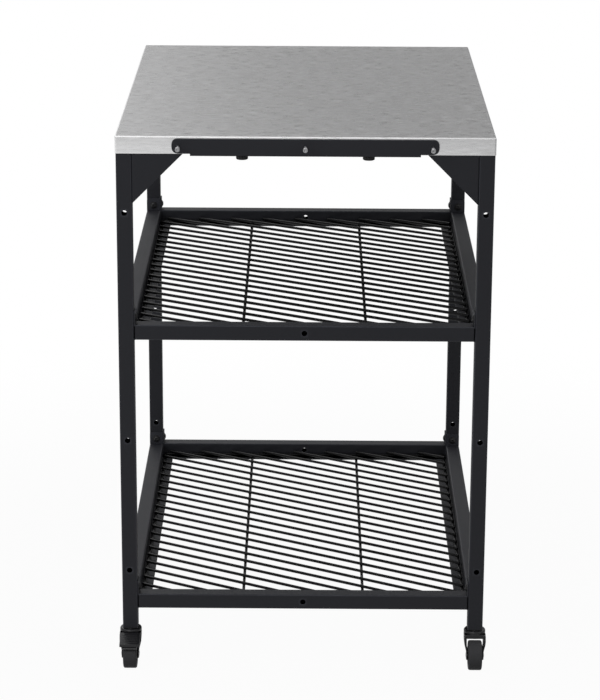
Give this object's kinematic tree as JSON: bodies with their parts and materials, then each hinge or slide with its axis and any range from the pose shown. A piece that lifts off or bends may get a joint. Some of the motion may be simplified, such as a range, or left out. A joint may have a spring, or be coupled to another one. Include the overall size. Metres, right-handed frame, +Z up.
{
  "type": "outdoor pizza oven table",
  "caption": "Rolling outdoor table with a brushed stainless top, black tube frame, slanted-wire shelves and a front tool rail.",
  "frame": {"origin": "on the floor, under the middle of the table", "axes": "+X to the right seen from the front, +Y to the back, +Z up; the tool rail faces -Y"},
  "size_m": [0.609, 0.869, 0.9],
  "materials": {
    "brushed_stainless": "brushed along X, satin",
    "black_powder_coat": "fine matt powder coat",
    "black_wire_coating": "satin black coating on wire",
    "peg_steel": "turned",
    "zinc_plated_steel": "zinc plated",
    "black_screw_steel": "black oxide",
    "galvanized_channel": "galvanized",
    "caster_plastic": "moulded, satin gloss",
    "knob_plastic": "moulded, fluted",
    "wheel_rubber": "dark grey tread"
  },
  "bodies": {
    "frame": {"caster_stems": "zinc_plated_steel", "frame_inserts": "zinc_plated_steel", "frame_screws": "black_screw_steel", "gusset_front_left": "black_powder_coat", "gusset_front_right": "black_powder_coat", "gusset_rear_left": "black_powder_coat", "gusset_rear_right": "black_powder_coat", "leg_front_left": "black_powder_coat", "leg_front_right": "black_powder_coat", "leg_plugs": "caster_plastic", "leg_rear_left": "black_powder_coat", "leg_rear_right": "black_powder_coat", "lower_bracket_front_left": "black_wire_coating", "lower_bracket_front_right": "black_wire_coating", "lower_bracket_rear_left": "black_wire_coating", "lower_bracket_rear_right": "black_wire_coating", "lower_shelf_front_rail": "black_powder_coat", "lower_shelf_left_rail": "black_powder_coat", "lower_shelf_rack": "black_wire_coating", "lower_shelf_rear_rail": "black_powder_coat", "lower_shelf_right_rail": "black_powder_coat", "sheet_channel_front": "galvanized_channel", "sheet_channel_rear": "galvanized_channel", "tabletop": "brushed_stainless", "thumbscrew_inserts": "zinc_plated_steel", "tool_rail": "black_powder_coat", "tool_rail_pegs": "peg_steel", "top_frame_front_rail": "black_powder_coat", "top_frame_left_rail": "black_powder_coat", "top_frame_rear_rail": "black_powder_coat", "top_frame_right_rail": "black_powder_coat", "upper_bracket_front_left": "black_wire_coating", "upper_bracket_front_right": "black_wire_coating", "upper_bracket_rear_left": "black_wire_coating", "upper_bracket_rear_right": "black_wire_coating", "upper_shelf_front_rail": "black_powder_coat", "upper_shelf_left_rail": "black_powder_coat", "upper_shelf_rack": "black_wire_coating", "upper_shelf_rear_rail": "black_powder_coat", "upper_shelf_right_rail": "black_powder_coat"},
    "pedal_front_left": {"brake_pedal_front_left": "caster_plastic"},
    "pedal_rear_left": {"brake_pedal_rear_left": "caster_plastic"},
    "caster_front_left": {"caster_axle_front_left": "zinc_plated_steel", "caster_fork_front_left": "caster_plastic"},
    "caster_front_right": {"caster_axle_front_right": "zinc_plated_steel", "caster_fork_front_right": "caster_plastic"},
    "caster_rear_left": {"caster_axle_rear_left": "zinc_plated_steel", "caster_fork_rear_left": "caster_plastic"},
    "caster_rear_right": {"caster_axle_rear_right": "zinc_plated_steel", "caster_fork_rear_right": "caster_plastic"},
    "wheel_front_left": {"caster_wheel_front_left": "wheel_rubber"},
    "wheel_front_right": {"caster_wheel_front_right": "wheel_rubber"},
    "wheel_rear_left": {"caster_wheel_rear_left": "wheel_rubber"},
    "wheel_rear_right": {"caster_wheel_rear_right": "wheel_rubber"},
    "thumbscrew_body_left": {"thumbscrew_left": "knob_plastic"},
    "thumbscrew_body_right": {"thumbscrew_right": "knob_plastic"},
    "washer_body_left": {"thumbscrew_washer_left": "black_screw_steel"},
    "washer_body_right": {"thumbscrew_washer_right": "black_screw_steel"}
  },
  "joints": [
    {"name": "swivel_front_left", "type": "hinge", "parent": "frame", "child": "caster_front_left", "pos_m": [-0.2865, -0.3865, 0.0585], "axis": [0, 0, 1], "continuous": true},
    {"name": "roll_front_left", "type": "hinge", "parent": "caster_front_left", "child": "wheel_front_left", "pos_m": [-0.2865, -0.4075, 0.025], "axis": [1, 0, 0], "continuous": true},
    {"name": "brake_front_left", "type": "hinge", "parent": "caster_front_left", "child": "pedal_front_left", "pos_m": [-0.2865, -0.4045, 0.046], "axis": [1, 0, 0], "range_deg": [0, 6]},
    {"name": "swivel_front_right", "type": "hinge", "parent": "frame", "child": "caster_front_right", "pos_m": [0.2865, -0.3865, 0.0585], "axis": [0, 0, 1], "continuous": true},
    {"name": "roll_front_right", "type": "hinge", "parent": "caster_front_right", "child": "wheel_front_right", "pos_m": [0.2865, -0.4075, 0.025], "axis": [1, 0, 0], "continuous": true},
    {"name": "swivel_rear_left", "type": "hinge", "parent": "frame", "child": "caster_rear_left", "pos_m": [-0.2865, 0.3865, 0.0585], "axis": [0, 0, 1], "continuous": true},
    {"name": "roll_rear_left", "type": "hinge", "parent": "caster_rear_left", "child": "wheel_rear_left", "pos_m": [-0.2865, 0.4075, 0.025], "axis": [1, 0, 0], "continuous": true},
    {"name": "brake_rear_left", "type": "hinge", "parent": "caster_rear_left", "child": "pedal_rear_left", "pos_m": [-0.2865, 0.4045, 0.046], "axis": [-1, 0, 0], "range_deg": [0, 6]},
    {"name": "swivel_rear_right", "type": "hinge", "parent": "frame", "child": "caster_rear_right", "pos_m": [0.2865, 0.3865, 0.0585], "axis": [0, 0, 1], "continuous": true},
    {"name": "roll_rear_right", "type": "hinge", "parent": "caster_rear_right", "child": "wheel_rear_right", "pos_m": [0.2865, 0.4075, 0.025], "axis": [1, 0, 0], "continuous": true},
    {"name": "thumbscrew_travel_left", "type": "slide", "parent": "frame", "child": "washer_body_left", "axis": [0, 0, -1], "range_m": [0, 0.004]},
    {"name": "thumbscrew_turn_left", "type": "hinge", "parent": "washer_body_left", "child": "thumbscrew_body_left", "pos_m": [-0.1, -0.3865, 0.8647], "axis": [0, 0, -1], "range_deg": [0, 1440]},
    {"name": "thumbscrew_travel_right", "type": "slide", "parent": "frame", "child": "washer_body_right", "axis": [0, 0, -1], "range_m": [0, 0.004]},
    {"name": "thumbscrew_turn_right", "type": "hinge", "parent": "washer_body_right", "child": "thumbscrew_body_right", "pos_m": [0.1, -0.3865, 0.8647], "axis": [0, 0, -1], "range_deg": [0, 1440]}
  ],
  "couplings": [
    {"joint": "thumbscrew_turn_left", "follows": "thumbscrew_travel_left", "rad_per_m": 6283},
    {"joint": "thumbscrew_turn_right", "follows": "thumbscrew_travel_right", "rad_per_m": 6283}
  ]
}
